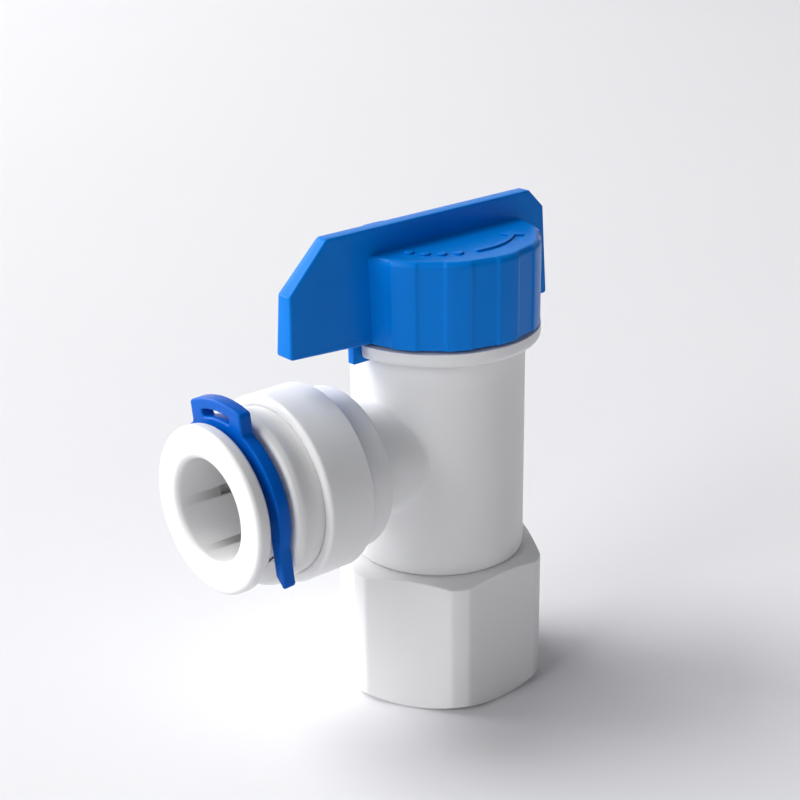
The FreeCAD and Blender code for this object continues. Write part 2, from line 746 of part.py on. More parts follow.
# Raised marks on the cap's top: a curved arrow that shows the closing turn, and a row of dots behind its tail.
mark_foot = cap_height - named("mark_root_depth")
mark_top = cap_height + named("mark_height")
mark_radius = cap_radius - named("mark_inset")
half_mark = named("mark_width") / 2
arrow_start = named("arrow_start_angle")
arrow_end = arrow_start + named("arrow_sweep_angle")
arrow_section = new_sketch(handle, "arrow_shaft_section", "XZ_Plane", turn=arrow_start)
outline(arrow_section, [(mark_radius - half_mark, mark_foot), (mark_radius + half_mark, mark_foot),
                        (mark_radius + half_mark, mark_top), (mark_radius - half_mark, mark_top)])
spin(handle, "arrow_shaft", arrow_section, angle=named("arrow_sweep_angle"))
head_section = new_sketch(handle, "arrow_head_section", "XY_Plane", lift=mark_foot)
head_half = named("arrow_head_half")
head_start = arrow_end - named("arrow_head_lap")
outline(head_section, [facet_point(mark_radius - head_half, head_start),
                       facet_point(mark_radius + head_half, head_start),
                       facet_point(mark_radius, arrow_end + named("arrow_head_angle"))])
extrude(handle, "arrow_head", head_section, mark_top - mark_foot)
dot_section = new_sketch(handle, "dot_section", "XY_Plane", lift=mark_foot)
for dot in range(4):
    circle(dot_section, named("dot_diameter"),
           facet_point(mark_radius, named("dot_start_angle") + named("dot_step_angle") * dot))
extrude(handle, "dots", dot_section, mark_top - mark_foot)

boss_radius = stem_radius + named("boss_wall")
hollow_radius = cap_radius - named("cap_wall")
ceiling = far_top_level - named("cap_top_thickness")
hollow_section = new_sketch(handle, "cap_hollow_section", "XZ_Plane")
outline(hollow_section, [(boss_radius, 0), (hollow_radius, 0), (hollow_radius, ceiling), (boss_radius, ceiling)])
spin(handle, "cap_hollow", hollow_section, cut=True)

# The stop lug hangs in the gap of the flange, between its two stop faces.
lug_inner = body_radius + named("lug_gap")
lug_outer = lug_inner + named("lug_depth")
lug_half = lug_inner * sine(stop_angle) - clearance
lug_section = new_sketch(handle, "lug_section", "XY_Plane", lift=-named("lug_drop"))
outline(lug_section, [(-lug_half, -lug_outer), (lug_half, -lug_outer),
                      (lug_half, -lug_inner), (-lug_half, -lug_inner)])
extrude(handle, "stop_lug", lug_section, named("lug_drop") + named("lug_root_depth"))

socket_half = square_half + clearance
socket_spare = named("socket_spare")
handle_foot = body_top + handle_gap
socket_top = stem_top - handle_foot + socket_spare
lip_start = snap_start - handle_foot + socket_spare
lip_end = snap_end - handle_foot - socket_spare
stem_entry = circle(new_sketch(handle, "stem_entry_section", "XY_Plane"),
                    (snap_floor + named("stem_entry_spare")) * 2)
extrude(handle, "stem_entry", stem_entry, socket_top, cut=True, reverse=True)
for name, start, end in (("lower", as_size(0), lip_start), ("upper", lip_end, socket_top)):
    socket_section = new_sketch(handle, name + "_socket_section", "XY_Plane", lift=start)
    outline(socket_section, [(-socket_half, -socket_half), (socket_half, -socket_half),
                             (socket_half, socket_half), (-socket_half, socket_half)])
    extrude(handle, name + "_socket", socket_section, end - start, cut=True, reverse=True)


# ---------------------------------------------------------------- socket collar and nose cap
# The collar is welded round the cup. The nose cap sits in the collar's mouth and keeps the collet in.

collar_bore = cup_radius + press_gap
collar_radius = collar_bore + named("collar_wall")
collar_start = cup_mouth - named("collar_overlap")
collar_end = cup_mouth + named("collar_lip")
socket_collar = turned("socket_collar", [
    (collar_bore, collar_start), (collar_radius, collar_start), (collar_radius, collar_end),
    (collar_bore, collar_end)], branch_height, True)
round_edges(socket_collar, "rim_bead", named("collar_bead_round"),
            lambda edge: is_ring(edge, collar_radius * 2, collar_end)
            or is_ring(edge, collar_bore * 2, collar_end))

nose_root = collar_bore - named("nose_radial_gap")
nose_tip = sleeve_radius + named("nose_tip_wall")
nose_front = collar_end + named("nose_length")
sleeve_gap = named("sleeve_clearance")
head_end = collet_back + named("collet_head_length")
taper_end = head_end + named("collet_head_taper")
nose_seat = collar_end + named("nose_seat_step")
nose_flare = nose_tip - nose_root
nose_slope = nose_front - nose_seat
nose_cap = turned("nose_cap", [
    (cone_radius, cup_mouth), (nose_root, cup_mouth), (nose_root, nose_seat),
    (nose_root + nose_flare * 0.15, nose_seat + nose_slope * 0.25),
    (nose_root + nose_flare * 0.45, nose_seat + nose_slope * 0.55),
    (nose_tip, nose_front - nose_slope * 0.25), (nose_tip, nose_front),
    (sleeve_radius + sleeve_gap, nose_front),
    (sleeve_radius + sleeve_gap, taper_end + sleeve_gap), (cone_radius, head_end + clearance)],
    branch_height, True)
round_edges(nose_cap, "nose_front_edge", named("nose_front_round"),
            lambda edge: is_ring(edge, nose_tip * 2, nose_front))


# ---------------------------------------------------------------- tube seal
tube_ring_middle = (oring_bore_radius - press_gap) * 2 - tube_cord
cord_ring("tube_oring", tube_ring_middle, tube_cord, tube_ring_level, branch_height, True)
spacer_bore = tube_bore_radius + named("spacer_bore_spare")
spacer_radius = oring_bore_radius - press_gap
turned("spacer_ring", [(spacer_bore, spacer_start), (spacer_radius, spacer_start),
                       (spacer_radius, spacer_end), (spacer_bore, spacer_end)], branch_height, True)


# ---------------------------------------------------------------- collet and its teeth

flange_back = nose_front + named("clip_room")
collet_front = flange_back + named("collet_flange_thickness")
collet_flange = sleeve_radius + named("collet_flange_overhang")
tooth_start = collet_back + named("tooth_groove_start")
tooth_end = tooth_start + named("tooth_groove_width")
tooth_root = collet_bore + named("tooth_groove_depth")
collet = turned("collet", [
    (collet_bore, collet_back), (head_radius, collet_back), (head_radius, head_end), (sleeve_radius, taper_end),
    (sleeve_radius, flange_back), (collet_flange, flange_back), (collet_flange, collet_front),
    (collet_bore, collet_front), (collet_bore, tooth_end), (tooth_root, tooth_end), (tooth_root, tooth_start),
    (collet_bore, tooth_start)], branch_height, True)
round_edges(collet, "collet_lip", named("collet_lip_round"),
            lambda edge: is_ring(edge, collet_bore * 2, collet_front))
round_edges(collet, "collet_rim", named("collet_rim_round"),
            lambda edge: is_ring(edge, collet_flange * 2, collet_front)
            or is_ring(edge, collet_flange * 2, flange_back))
slot_half_width = named("finger_slot_width") / 2
finger_section = new_sketch(collet, "finger_slot_section", "XZ_Plane", turn=named("finger_turn_angle"))
outline(finger_section, [(-slot_half_width, collet_back - overcut), (slot_half_width, collet_back - overcut),
                         (slot_half_width, collet_back + named("finger_slot_length")),
                         (-slot_half_width, collet_back + named("finger_slot_length"))])
finger_slot = extrude(collet, "finger_slot", finger_section, head_radius + overcut, cut=True)
ring_copies(collet, "finger_slots", finger_slot, named("finger_count"))

# The teeth are pressed into the groove inside the fingers: ring pieces with one sharp edge leaning inward.
teeth = new_body("grip_teeth", branch_height, True)
tooth_margin = slot_half_width + named("tooth_slot_margin")
tooth_section = new_sketch(teeth, "tooth_section", "XZ_Plane")
strip_radius = tooth_root - ring_gap
strip_start = tooth_start + ring_gap
strip_end = tooth_end - ring_gap
strip_thickness = named("tooth_groove_depth") / 3
outline(tooth_section, [(strip_radius, strip_start), (strip_radius, strip_end),
                        (strip_radius - strip_thickness, strip_end),
                        (collet_bore + press_gap, strip_start + strip_thickness),
                        (collet_bore + strip_thickness / 2, strip_start)])
spin(teeth, "tooth_ring", tooth_section)
tooth_gap_section = new_sketch(teeth, "tooth_gap_section", "XZ_Plane", turn=named("finger_turn_angle"))
outline(tooth_gap_section, [(-tooth_margin, collet_back), (tooth_margin, collet_back),
                            (tooth_margin, tooth_end + overcut), (-tooth_margin, tooth_end + overcut)])
tooth_gap = extrude(teeth, "tooth_gap", tooth_gap_section, head_radius + overcut, cut=True)
ring_copies(teeth, "tooth_gaps", tooth_gap, named("finger_count"))


# ---------------------------------------------------------------- locking clip
# A flat C-shaped clip that hangs loosely on the collet, between its flange and the nose, with a pull loop on top.
# Its own origin is at its middle on the branch axis, its own Y points along its pull, and its own +Z out of the socket.

clip = new_body("locking_clip", branch_height, True)
clip_thickness = named("clip_thickness")
clip_middle = nose_front + named("clip_back_gap") + clip_thickness / 2
lean = Rotation(Vector(1, 0, 0), 90 + named("clip_lean_angle").value)
clip.Placement = Placement(Vector(0, -clip_middle.value, branch_height.value),
                           lean.multiply(Rotation(Vector(0, 0, 1), named("clip_roll_angle").value)))
clip.setExpression("Placement.Base.y", (-clip_middle).formula)
slot_radius = sleeve_radius + named("clip_slot_gap")
clip_radius = slot_radius + named("clip_band")
clip_crown = named("clip_crown")
window_inner = clip_radius + clip_crown


def clip_sketch(name):
    """A sketch on the clip's middle plane."""
    return new_sketch(clip, name, "XY_Plane")


disc_section = circle(clip_sketch("clip_disc_section"), clip_radius * 2, (0, clip_crown))
extrude(clip, "clip_disc", disc_section, clip_thickness, middle=True)
half_clip = clip_thickness / 2
tab_radius = clip_radius + named("clip_tab_height")
tab_half = named("clip_tab_half_width")
tab_section = clip_sketch("clip_tab_section")
tab_edge_angle = as_size(math.degrees(math.asin(tab_half.value / tab_radius.value)))
tab_edge_angle.formula = "(asin(%s / %s) / 1 deg)" % (tab_half.formula, tab_radius.formula)
tab_arc = [(tab_radius * sine(tab_edge_angle * share), tab_radius * cosine(tab_edge_angle * share))
           for share in (1, 0.6, 0.2, -0.2, -0.6, -1)]
outline(tab_section, [(-tab_half, 0), (tab_half, 0)] + tab_arc)
extrude(clip, "clip_tab", tab_section, clip_thickness, middle=True)
window_angle = named("clip_window_angle")
window_outer = tab_radius - named("clip_window_rim")
window_section = new_sketch(clip, "clip_window_section", "XZ_Plane", turn=90 - window_angle / 2)
outline(window_section, [(window_inner, -clip_thickness), (window_outer, -clip_thickness),
                         (window_outer, clip_thickness), (window_inner, clip_thickness)])
spin(clip, "clip_window", window_section, angle=window_angle, cut=True)
arm_drop = named("clip_arm_drop")
foot_drop = named("clip_foot_drop")
mouth_section = clip_sketch("clip_mouth_section")
past_clip = clip_radius + overcut
outline(mouth_section, [(-past_clip, -arm_drop), (-past_clip, -past_clip), (past_clip, -past_clip),
                        (past_clip, -arm_drop)])
extrude(clip, "clip_mouth", mouth_section, clip_thickness * 2, cut=True, middle=True)
foot_outer = slot_radius + named("clip_foot_width")
foot_root = half_clip - arm_drop
foot_shoulder = -foot_drop + named("clip_foot_point")
foot_edge = named("clip_foot_edge")
point_share = named("clip_point_share")
for side, name in ((1, "right"), (-1, "left")):
    foot_section = clip_sketch(name + "_foot_section")
    outline(foot_section, [(slot_radius * side, foot_root), (slot_radius * side, foot_shoulder),
                           ((slot_radius + named("clip_foot_width") * point_share) * side, -foot_drop),
                           (foot_outer * side, -foot_drop + foot_edge), (foot_outer * side, foot_root)])
    extrude(clip, name + "_foot", foot_section, clip_thickness, middle=True)
slot_round = circle(clip_sketch("clip_slot_round_section"), slot_radius * 2)
extrude(clip, "clip_slot_round", slot_round, clip_thickness * 2, cut=True, middle=True)
slot_straight = clip_sketch("clip_slot_section")
outline(slot_straight, [(-slot_radius, 0), (-slot_radius, -clip_radius), (slot_radius, -clip_radius),
                        (slot_radius, 0)])
extrude(clip, "clip_slot", slot_straight, clip_thickness * 2, cut=True, middle=True)


# ---------------------------------------------------------------- checks and files

doc.recompute()
faults = [item.Name for item in doc.Objects if "Invalid" in item.State or "Error" in item.State]
if faults:
    raise RuntimeError("failed objects: " + ", ".join(faults))
for node in NODES:
    if node.Shape.isNull() or not node.Shape.isValid():
        raise RuntimeError("bad shape: " + node.Label)
os.makedirs("parts", exist_ok=True)
for node in NODES:
    node.Shape.exportStep("parts/%s.step" % node.Label)
    box = node.Shape.BoundBox
    print("%-20s solids %d  volume %8.2f  x %.2f..%.2f  y %.2f..%.2f  z %.2f..%.2f" % (
        node.Label, len(node.Shape.Solids), node.Shape.Volume,
        box.XMin, box.XMax, box.YMin, box.YMax, box.ZMin, box.ZMax))
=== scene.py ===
import bpy
import json
import math
import numpy as np
from mathutils import Matrix, Vector
from mathutils.geometry import tessellate_polygon


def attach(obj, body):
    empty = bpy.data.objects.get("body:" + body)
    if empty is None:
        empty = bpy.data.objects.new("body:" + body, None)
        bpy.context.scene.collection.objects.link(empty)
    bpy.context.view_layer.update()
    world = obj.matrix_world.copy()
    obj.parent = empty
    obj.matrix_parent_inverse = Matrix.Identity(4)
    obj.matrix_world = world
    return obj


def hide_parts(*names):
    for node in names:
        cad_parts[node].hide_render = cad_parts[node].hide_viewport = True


# A white push-fit tank ball valve with a blue quarter-turn handle and a blue locking clip, standing on its
# base. The frame's axes are kept: +Z up the main axis, -Y out of the tube socket. The studio is in metres;
# the pieces' sizes are in millimetres and are scaled to metres as each mesh is made.

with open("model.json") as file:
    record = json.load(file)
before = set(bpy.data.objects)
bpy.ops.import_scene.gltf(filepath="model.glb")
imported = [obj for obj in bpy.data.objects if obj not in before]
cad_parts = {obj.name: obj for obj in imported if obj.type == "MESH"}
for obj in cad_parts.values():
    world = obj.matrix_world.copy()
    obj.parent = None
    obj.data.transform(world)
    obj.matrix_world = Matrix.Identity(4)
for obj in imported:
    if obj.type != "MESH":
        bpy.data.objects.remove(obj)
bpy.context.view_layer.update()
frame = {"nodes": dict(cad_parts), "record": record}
nodes = frame["nodes"]

# ---------------------------------------------------------------- floor and camera
# A sheet of plain pale studio card that lies under the valve and curves up behind it.
# The camera stands a little above the handle, off to the right of the tube socket.

MM = 0.001


def grid_mesh(points, close_u=False, close_v=False, flip=False):
    """Joins a grid of points, shape (rows, columns, 3), into quads; either direction may close on itself."""
    rows, columns = points.shape[:2]
    index = np.arange(rows * columns).reshape(rows, columns)
    if close_u:
        index = np.concatenate([index, index[:1]], axis=0)
    if close_v:
        index = np.concatenate([index, index[:, :1]], axis=1)
    quads = np.stack([index[:-1, :-1], index[:-1, 1:], index[1:, 1:], index[1:, :-1]], axis=-1).reshape(-1, 4)
    if flip:
        quads = quads[:, ::-1]
    return points.reshape(-1, 3), quads


def add_object(name, points, faces, smooth=True):
    """Makes one object from vertex places in metres and faces of any size."""
    mesh = bpy.data.meshes.new(name)
    mesh.from_pydata(np.asarray(points).tolist(), [], [list(map(int, face)) for face in faces])
    mesh.update()
    mesh.polygons.foreach_set("use_smooth", [smooth] * len(mesh.polygons))
    piece = bpy.data.objects.new(name, mesh)
    bpy.context.scene.collection.objects.link(piece)
    return piece


camera_azimuth = math.radians(49.5)
camera_elevation = math.radians(22.05)
camera_roll = math.radians(-0.74)
camera_distance = 172.4 * MM
camera_aim_height = 27.15 * MM
camera_side_step = -3.58 * MM

camera_back = Vector((math.sin(camera_azimuth) * math.cos(camera_elevation),
                      -math.cos(camera_azimuth) * math.cos(camera_elevation), math.sin(camera_elevation)))
level_right = Vector((math.cos(camera_azimuth), math.sin(camera_azimuth), 0))
level_up = camera_back.cross(level_right)
camera_right = math.cos(camera_roll) * level_right + math.sin(camera_roll) * level_up
camera_up = math.cos(camera_roll) * level_up - math.sin(camera_roll) * level_right
camera_place = (Vector((0, 0, camera_aim_height)) + camera_back * camera_distance
                + level_right * camera_side_step)
camera_data = bpy.data.cameras.new("studio_camera")
camera_data.sensor_width = 36.0
camera_data.lens = 78.7
camera_data.shift_x = -0.0019
camera_data.shift_y = 0.0267
camera_data.clip_start = 0.005
camera_data.clip_end = 20.0
camera = bpy.data.objects.new("studio_camera", camera_data)
turn = Matrix((camera_right, camera_up, camera_back)).transposed().to_4x4()
camera.matrix_world = Matrix.Translation(camera_place) @ turn
bpy.context.scene.collection.objects.link(camera)
bpy.context.scene.camera = camera


def new_material(name, metallic=0.0, roughness=0.5, ior=1.48, coat=0.0, coat_roughness=0.05):
    """A node material with one Principled shader, whose even values are set on its own sockets."""
    material = bpy.data.materials.new(name)
    material.use_nodes = True
    shader = material.node_tree.nodes["Principled BSDF"]
    shader.inputs["Metallic"].default_value = metallic
    shader.inputs["Roughness"].default_value = roughness
    shader.inputs["IOR"].default_value = ior
    shader.inputs["Coat Weight"].default_value = coat
    shader.inputs["Coat Roughness"].default_value = coat_roughness
    return material, material.node_tree, shader


def add_noise(tree, scale, detail=4.0, roughness=0.55):
    """Noise on the piece's own Object coordinates; scale counts its patches per metre."""
    place = tree.nodes.new("ShaderNodeTexCoord")
    noise = tree.nodes.new("ShaderNodeTexNoise")
    noise.inputs["Scale"].default_value = scale
    noise.inputs["Detail"].default_value = detail
    noise.inputs["Roughness"].default_value = roughness
    tree.links.new(place.outputs["Object"], noise.inputs["Vector"])
    return noise.outputs["Fac"]


def add_ramp(tree, factor, stops):
    """A colour ramp over a factor; each stop is a position and a colour."""
    ramp = tree.nodes.new("ShaderNodeValToRGB")
    while len(ramp.color_ramp.elements) < len(stops):
        ramp.color_ramp.elements.new(0.5)
    for element, (position, colour) in zip(ramp.color_ramp.elements, stops):
        element.position = position
        element.color = (*colour, 1.0)
    tree.links.new(factor, ramp.inputs["Fac"])
    return ramp.outputs["Color"]


def add_range(tree, factor, low, high):
    """Maps a factor from 0..1 to low..high."""
    span = tree.nodes.new("ShaderNodeMapRange")
    span.inputs["To Min"].default_value = low
    span.inputs["To Max"].default_value = high
    tree.links.new(factor, span.inputs["Value"])
    return span.outputs["Result"]


def add_bump(tree, shader, height, distance, strength=1.0):
    """Fine relief: a height of 0..1 that stands for a distance in metres."""
    bump = tree.nodes.new("ShaderNodeBump")
    bump.inputs["Distance"].default_value = distance
    bump.inputs["Strength"].default_value = strength
    tree.links.new(height, bump.inputs["Height"])
    tree.links.new(bump.outputs["Normal"], shader.inputs["Normal"])


card, tree, shader = new_material("studio_card", roughness=0.75)
shader.inputs["Specular IOR Level"].default_value = 0.2
tree.links.new(add_ramp(tree, add_noise(tree, 3.0), [(0.3, (0.80, 0.80, 0.825)), (0.7, (0.82, 0.82, 0.84))]),
               shader.inputs["Base Color"])

# The card's section: flat, then a quarter turn, then upright, carried along a straight line.
card_front, card_bend, card_radius, card_top, card_half = -0.9, 0.75, 0.5, 1.6, 1.8
bend = np.linspace(0, math.pi / 2, 33)
section = np.concatenate([
    [[card_front, 0]],
    np.stack([card_bend + card_radius * np.sin(bend), card_radius * (1 - np.cos(bend))], axis=1),
    [[card_bend + card_radius, card_top]]])
across = np.array([-card_half, card_half])
run_dir = np.array([-camera_back.x, -camera_back.y]) / math.hypot(camera_back.x, camera_back.y)
side_dir = np.array([level_right.x, level_right.y])
card_points = np.zeros((len(section), 2, 3))
card_points[..., :2] = section[:, None, :1] * run_dir + across[None, :, None] * side_dir
card_points[..., 2] = section[:, 1:2]
floor = add_object("studio_card", *grid_mesh(card_points, flip=True))
floor.data.materials.append(card)

# ---------------------------------------------------------------- light
# Four big soft windows stand to the left (high, low, behind and in front), and a weak sheet of light in
# front. A dim, slightly blue room fills the shadows.


def soft_light(name, place, size, power, colour=(1, 1, 1), aim=(0, 0, 0.022)):
    """A square area light at a place, facing a point on the valve."""
    light = bpy.data.lights.new(name, "AREA")
    light.shape = "SQUARE"
    light.size = size
    light.energy = power
    light.color = colour
    lamp = bpy.data.objects.new(name, light)
    lamp.location = place
    lamp.rotation_euler = (Vector(aim) - Vector(place)).to_track_quat("-Z", "Y").to_euler()
    bpy.context.scene.collection.objects.link(lamp)


def studio_place(right, behind, height):
    """A place given from the camera's side: metres to its right, away from it, and up."""
    flat_back = Vector((-camera_back.x, -camera_back.y, 0)).normalized()
    return level_right * right + flat_back * behind + Vector((0, 0, height))


soft_light("left_high_window", studio_place(-1.08, 0.09, 1.35), 0.9, 19.5, (1.0, 0.997, 0.993))
soft_light("left_low_window", studio_place(-1.44, 0.36, 0.22), 0.72, 11.5, (1.0, 0.997, 0.993))
soft_light("left_back_window", studio_place(-1.08, 1.08, 0.72), 0.81, 10.6)
soft_light("left_front_window", studio_place(-1.17, -0.99, 0.81), 0.81, 9.5)
soft_light("front_sheet", studio_place(0.18, -1.62, 0.9), 1.08, 3.2, (0.97, 0.98, 1.0))
world = bpy.data.worlds.new("studio_room")
world.use_nodes = True
world.node_tree.nodes["Background"].inputs["Color"].default_value = (0.92, 0.93, 0.97, 1)
world.node_tree.nodes["Background"].inputs["Strength"].default_value = 0.11
bpy.context.scene.world = world
bpy.context.scene.view_settings.view_transform = "Standard"

# ---------------------------------------------------------------- tank adapter
# The hexagonal base that screws onto the storage tank: injection-moulded white acetal, its corners turned
# round and chamfered, with a tapered pipe thread inside. Its spigot, with an O-ring groove, is welded into
# the body tube.


def white_plastic(name, tint, roughness):
    """Semi-matt white acetal: some light enters it, and its skin has fine texture and faint flow marks."""
    material, tree, shader = new_material(name, roughness=roughness)
    shader.inputs["Subsurface Weight"].default_value = 0.22
    shader.inputs["Subsurface Radius"].default_value = (1.0, 0.95, 0.88)
    shader.inputs["Subsurface Scale"].default_value = 1.0 * MM
    shades = [(0.3, tuple(value - 0.018 for value in tint)), (0.7, tint)]
    tree.links.new(add_ramp(tree, add_noise(tree, 160.0), shades), shader.inputs["Base Color"])
    skin = add_noise(tree, 2600.0, detail=3.0)
    tree.links.new(add_range(tree, skin, roughness - 0.07, roughness + 0.09), shader.inputs["Roughness"])
    add_bump(tree, shader, skin, 0.004 * MM, 0.2)
    return material


def rounded_path(corners, steps=6, guard=0.05):
    """A closed path through corners (a, b, radius). Each corner becomes an arc that touches both its sides.
    One more point just outside each end of the arc keeps the flat beside it shading flat. With h half the
    corner's angle, the arc starts radius / tan h along each side, which puts its middle that length / cos h
    from the corner."""
    path = []
    for index, (a, b, radius) in enumerate(corners):
        here = np.array([a, b], dtype=float)
        before = np.array(corners[index - 1][:2]) - here
        after = np.array(corners[(index + 1) % len(corners)][:2]) - here
        room = 0.45 * min(np.hypot(*before), np.hypot(*after))
        before, after = before / np.hypot(*before), after / np.hypot(*after)
        half = 0.5 * math.acos(float(np.clip(before @ after, -1, 1)))
        reach = min(radius / math.tan(half), room)
        if reach < 1e-4:
            path.append(here[None])
            continue
        middle = here + (before + after) / np.hypot(*(before + after)) * (reach / math.cos(half))
        start = here + before * reach - middle
        side = np.sign(start[0] * (here - middle)[1] - start[1] * (here - middle)[0])
        angles = np.linspace(0, math.pi - 2 * half, steps + 1) * side
        arc = np.stack([start[0] * np.cos(angles) - start[1] * np.sin(angles),
                        start[0] * np.sin(angles) + start[1] * np.cos(angles)], axis=1) + middle
        path += [arc[:1] + before * guard, arc, arc[-1:] + after * guard]
    return np.concatenate(path)


def turned_points(radius, level, angles):
    """A profile carried round its axis: x is radius times cosine, y is radius times sine, z is the level.
    Radius and level are one value a row, or a row of values for all the angles."""
    radius, level = (np.asarray(part, dtype=float) for part in (radius, level))
    radius = radius if radius.ndim == 2 else radius[:, None]
    level = level if level.ndim == 2 else level[:, None]
    points = [radius * np.cos(angles), radius * np.sin(angles), level]
    return np.stack(np.broadcast_arrays(*points), axis=-1)


def soft_least(first, second, width):
    """The lesser of two values, with the bend between them rounded: the least less h squared times width / 4,
    where h falls from 1 where they are equal to 0 where they are a width apart."""
    closeness = np.maximum(width - np.abs(first - second), 0) / width
    return np.minimum(first, second) - closeness ** 2 * width / 4


def full_turn(columns):
    """Angles evenly round a circle, without the last one, which is the first again."""
    return np.arange(columns) * (2 * math.pi / columns)


hex_half = 9.5
hex_height = 14.3
hex_corner = 10.5
hex_face = math.pi / 3
adapter_columns = 480
adapter_turn = full_turn(adapter_columns)
foot_start, foot_end, top_start, top_end = 0.03, 1.0, 13.4, 14.27
foot_inset = 0.06
outer_levels = np.concatenate([np.linspace(foot_start, foot_end, 26), [1.2, 4.0, 10.0, 13.2],
                               np.linspace(top_start, top_end, 24)])[:, None]
around_flat = (adapter_turn + hex_face / 2) % hex_face - hex_face / 2
hexagon = hex_half / np.cos(around_flat)[None]
foot_chamfer = 9.3 + outer_levels * 1.2 / 0.75
top_chamfer = 8.9 + (hex_height - outer_levels) * 1.6 / 0.6
outer_radius = soft_least(hexagon, hex_corner, 0.12)
outer_radius = soft_least(outer_radius, foot_chamfer, 0.15)
outer_radius = soft_least(outer_radius, top_chamfer, 0.15)

# The spigot above the hexagon, then the bore down to the thread, from outside to inside.
spigot_radius, groove_radius, passage_radius = 5.85, 4.48, 3.0
spigot = rounded_path([
    (8.82, hex_height, 0), (spigot_radius, hex_height, 0.05), (spigot_radius, 16.0, 0.05),
    (groove_radius, 16.0, 0.1),
    (groove_radius, 17.78, 0.1), (spigot_radius, 17.78, 0.05), (spigot_radius, 21.6, 0.15),
    (4.65, 21.6, 0.1), (4.65, 19.1, 0.1), (passage_radius, 19.1, 0.1), (passage_radius, 10.4, 0.1),
    (5.55, 10.4, 0)], steps=3)

# The thread: a groove that rises one pitch a turn and widens downwards by the taper, and fades out at its
# inner end.
thread_pitch = 1.411
thread_taper = math.tan(math.radians(1.79))
crest_radius, root_at_mouth, root_half, flank_slope = 5.6, 6.6, 0.06, 2.25
fade_start, fade_length = 10.2, 0.8
mouth_edge = 5.85
thread_levels = np.linspace(10.35, 0.05, 104)[:, None]
turn_share = (thread_levels / thread_pitch - adapter_turn[None] / (2 * math.pi) + 0.5) % 1 - 0.5
root_radius = root_at_mouth - thread_taper * thread_levels
fade = np.clip((fade_start - thread_levels) / fade_length, 0, 1)
groove = root_radius - np.maximum(np.abs(turn_share) * thread_pitch - root_half, 0) * flank_slope
crest = np.full_like(groove, crest_radius)
thread_radius = -soft_least(-crest, -(crest + (groove - crest) * fade), 0.12)
mouth_radius = np.maximum(thread_radius[-1:], mouth_edge)
foot_radius = outer_radius[:1] - foot_inset
adapter_rows = turned_points(
    np.concatenate([foot_radius, outer_radius, np.broadcast_to(spigot[:, :1], (len(spigot), adapter_columns)),
                    thread_radius, mouth_radius]),
    np.concatenate([[[0.0]], outer_levels, spigot[:, 1:], thread_levels, [[0.0]]]), adapter_turn)
adapter = add_object("hexagonal_base", *grid_mesh(adapter_rows * MM, close_u=True, close_v=True))
body_white = white_plastic("body_white", (0.85, 0.85, 0.855), 0.42)
adapter.data.materials.append(body_white)
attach(adapter, "valve")
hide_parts("tank_adapter")

# ---------------------------------------------------------------- valve body
# The body tube with its flange, neck and cup is one white moulding. Its CAD mesh has the true shape, rounds
# and blend included, so it stays and only takes the white finish.


def finish_node(name, material):
    """Gives a CAD node's mesh one material."""
    nodes[name].data.materials.clear()
    nodes[name].data.materials.append(material)


finish_node("valve_body", body_white)

# ---------------------------------------------------------------- socket collar and nose cap
# The collar is a white acetal sleeve welded round the cup, with a rounded bead at its mouth. The nose cap
# is pressed into it: a white moulded ring with a flared flank and a broad rounded rim that backs the clip.

branch_height = frame["record"]["mounts"][1]["pos_m"][2] / MM
ring_turn = full_turn(256)


def along_branch(points):
    """Turns points made about +Z so that their +Z runs out of the tube socket, at the branch's height."""
    return np.stack([points[..., 0], -points[..., 2], points[..., 1] + branch_height], axis=-1)


def add_ring(name, path, node, material):
    """A ring on the branch axis, turned from a closed path of (radius, distance from the main axis)."""
    points = along_branch(turned_points(path[:, 0], path[:, 1], ring_turn))
    ring = add_object(name, *grid_mesh(points * MM, close_u=True, close_v=True))
    ring.data.materials.append(material)
    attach(ring, "valve")
    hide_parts(node)
    return ring


collar_path = rounded_path([
    (7.96, 15.6, 0.12), (8.97, 15.6, 0.1), (8.97, 20.6, 0.5), (8.15, 20.6, 0.25), (8.1, 20.5, 0.04),
    (7.96, 20.55, 0.04)], guard=0.03)
add_ring("collar_sleeve", collar_path, "socket_collar", body_white)

nose_front = 23.75
nose_path = rounded_path([
    (6.75, 18.6, 0.1), (7.94, 18.6, 0.1), (7.94, 20.9, 0.3), (8.05, 21.7, 3.0), (8.4, 23.0, 0.9),
    (8.2, nose_front, 0.5), (6.12, nose_front, 0.15), (6.12, 20.72, 0.1), (6.75, 19.3, 0.1)], guard=0.03)
nose_white = white_plastic("nose_white", (0.84, 0.84, 0.835), 0.45)
add_ring("nose_ring", nose_path, "nose_cap", nose_white)

# ---------------------------------------------------------------- release collet and its teeth
# The collet is a thin white acetal tube with a broad rounded flange to push on. Six slots cut its inner end
# into fingers, and each finger holds one stamped stainless tooth that bites the tube.

finger_count = 6
finger_pitch = 2 * math.pi / finger_count
finger_columns, slot_columns = 36, 8
finger_turn = math.radians(-18.0)
slot_half, slot_end = 0.5, 22.9
collet_bore, collet_outside, flange_radius, collet_front = 4.85, 6.0, 7.9, 27.7
collet_path = rounded_path([
    (collet_bore, 18.4, 0.08), (6.55, 18.4, 0.12), (6.55, 19.3, 0.1), (collet_outside, 20.6, 0.3),
    (collet_outside, slot_end, 0), (collet_outside, 26.3, 0.2), (flange_radius, 26.3, 0.34),
    (flange_radius, collet_front, 0.38), (collet_bore, collet_front, 0.5), (collet_bore, slot_end, 0),
    (collet_bore, 20.0, 0.05), (5.47, 20.0, 0.05), (5.47, 19.0, 0.05), (collet_bore, 19.0, 0.05)], guard=0.03)

